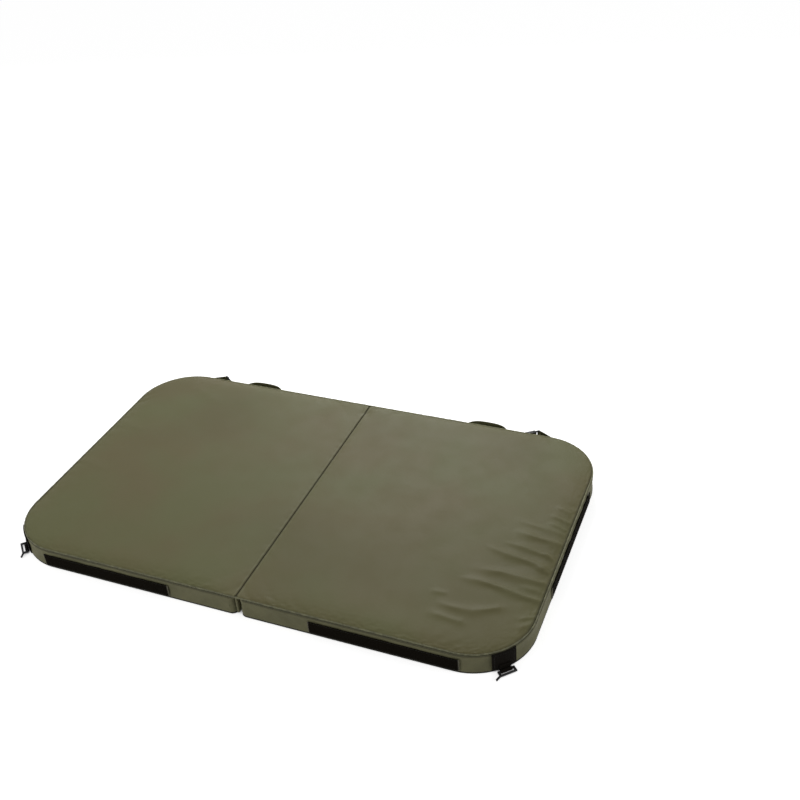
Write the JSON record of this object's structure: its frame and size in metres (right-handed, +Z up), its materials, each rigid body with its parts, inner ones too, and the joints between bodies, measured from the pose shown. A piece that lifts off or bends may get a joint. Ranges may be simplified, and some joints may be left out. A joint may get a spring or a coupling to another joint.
{
  "type": "folding unhooking mat",
  "caption": "Padded two-part mat for laying a landed fish on; it folds face to face and has webbing handles, straps, hook-and-loop strips and corner rings.",
  "frame": {"origin": "on the floor, under the middle of the whole object's box", "axes": "+X along the mat towards the right half, +Y towards the edge with the handles, +Z up"},
  "size_m": [1.0034, 0.6185, 0.0482],
  "materials": {
    "top_fabric": "smooth coated olive fabric, soft sheen",
    "side_fabric": "dark olive woven fabric, matt",
    "base_fabric": "coarse dark woven fabric, matt",
    "foam": "closed-cell foam",
    "hook_and_loop": "black pile",
    "black_webbing": "black woven webbing",
    "olive_webbing": "olive woven webbing",
    "black_plastic": "moulded, satin"
  },
  "bodies": {
    "left_half": {"left_foam_core": "foam", "left_top_sheet": "top_fabric", "left_base_sheet": "base_fabric", "left_side_band": "side_fabric", "left_top_piping": "top_fabric", "left_base_piping": "side_fabric", "left_front_strip": "hook_and_loop", "left_side_strip": "hook_and_loop", "left_corner_band": "black_webbing", "left_corner_loop": "black_webbing", "left_handle_patch_inner": "olive_webbing", "left_handle_patch_outer": "olive_webbing", "left_strap_patch": "olive_webbing", "fold_web": "side_fabric", "front_pleat": "side_fabric", "back_pleat": "side_fabric"},
    "right_half": {"right_foam_core": "foam", "right_top_sheet": "top_fabric", "right_base_sheet": "base_fabric", "right_side_band": "side_fabric", "right_top_piping": "top_fabric", "right_base_piping": "side_fabric", "right_front_strip": "hook_and_loop", "right_side_strip": "hook_and_loop", "right_corner_band": "black_webbing", "right_corner_loop": "black_webbing", "right_handle_patch_inner": "olive_webbing", "right_handle_patch_outer": "olive_webbing", "right_strap_patch": "olive_webbing"},
    "left_handle_grip": {"left_handle": "olive_webbing"},
    "left_strap": {"left_back_strap": "olive_webbing"},
    "left_buckle": {"left_back_buckle": "black_plastic"},
    "left_ring": {"left_corner_ring": "black_plastic"},
    "right_handle_grip": {"right_handle": "olive_webbing"},
    "right_strap": {"right_back_strap": "olive_webbing"},
    "right_buckle": {"right_back_buckle": "black_plastic"},
    "right_ring": {"right_corner_ring": "black_plastic"}
  },
  "joints": [
    {"name": "fold", "type": "hinge", "parent": "left_half", "child": "right_half", "pos_m": [0, -0.01125, 0.0446], "axis": [0, -1, 0], "range_deg": [0, 176], "deforming": ["fold_web"]},
    {"name": "left_handle_lift", "type": "hinge", "parent": "left_half", "child": "left_handle_grip", "pos_m": [-0.25652, 0.2861, 0.037], "axis": [1, 0, 0], "range_deg": [0, 75]},
    {"name": "left_strap_swing", "type": "hinge", "parent": "left_half", "child": "left_strap", "pos_m": [-0.41292, 0.28357, 0.0225], "axis": [0, 0, 1], "range_deg": [0, 80]},
    {"name": "left_buckle_swing", "type": "hinge", "parent": "left_strap", "child": "left_buckle", "pos_m": [-0.36102, 0.30555, 0.0225], "axis": [0, 0, 1], "range_deg": [0, 60]},
    {"name": "left_ring_lift", "type": "hinge", "parent": "left_half", "child": "left_ring", "pos_m": [-0.47175, -0.2793, 0.00345], "axis": [-0.7071, 0.7071, 0], "range_deg": [0, 85]},
    {"name": "right_handle_lift", "type": "hinge", "parent": "right_half", "child": "right_handle_grip", "pos_m": [0.25652, 0.2861, 0.037], "axis": [1, 0, 0], "range_deg": [0, 75]},
    {"name": "right_strap_swing", "type": "hinge", "parent": "right_half", "child": "right_strap", "pos_m": [0.41292, 0.28357, 0.0225], "axis": [0, 0, -1], "range_deg": [0, 80]},
    {"name": "right_buckle_swing", "type": "hinge", "parent": "right_strap", "child": "right_buckle", "pos_m": [0.36102, 0.30555, 0.0225], "axis": [0, 0, -1], "range_deg": [0, 60]},
    {"name": "right_ring_lift", "type": "hinge", "parent": "right_half", "child": "right_ring", "pos_m": [0.47175, -0.2793, 0.00345], "axis": [-0.7071, -0.7071, 0], "range_deg": [0, 85]}
  ]
}
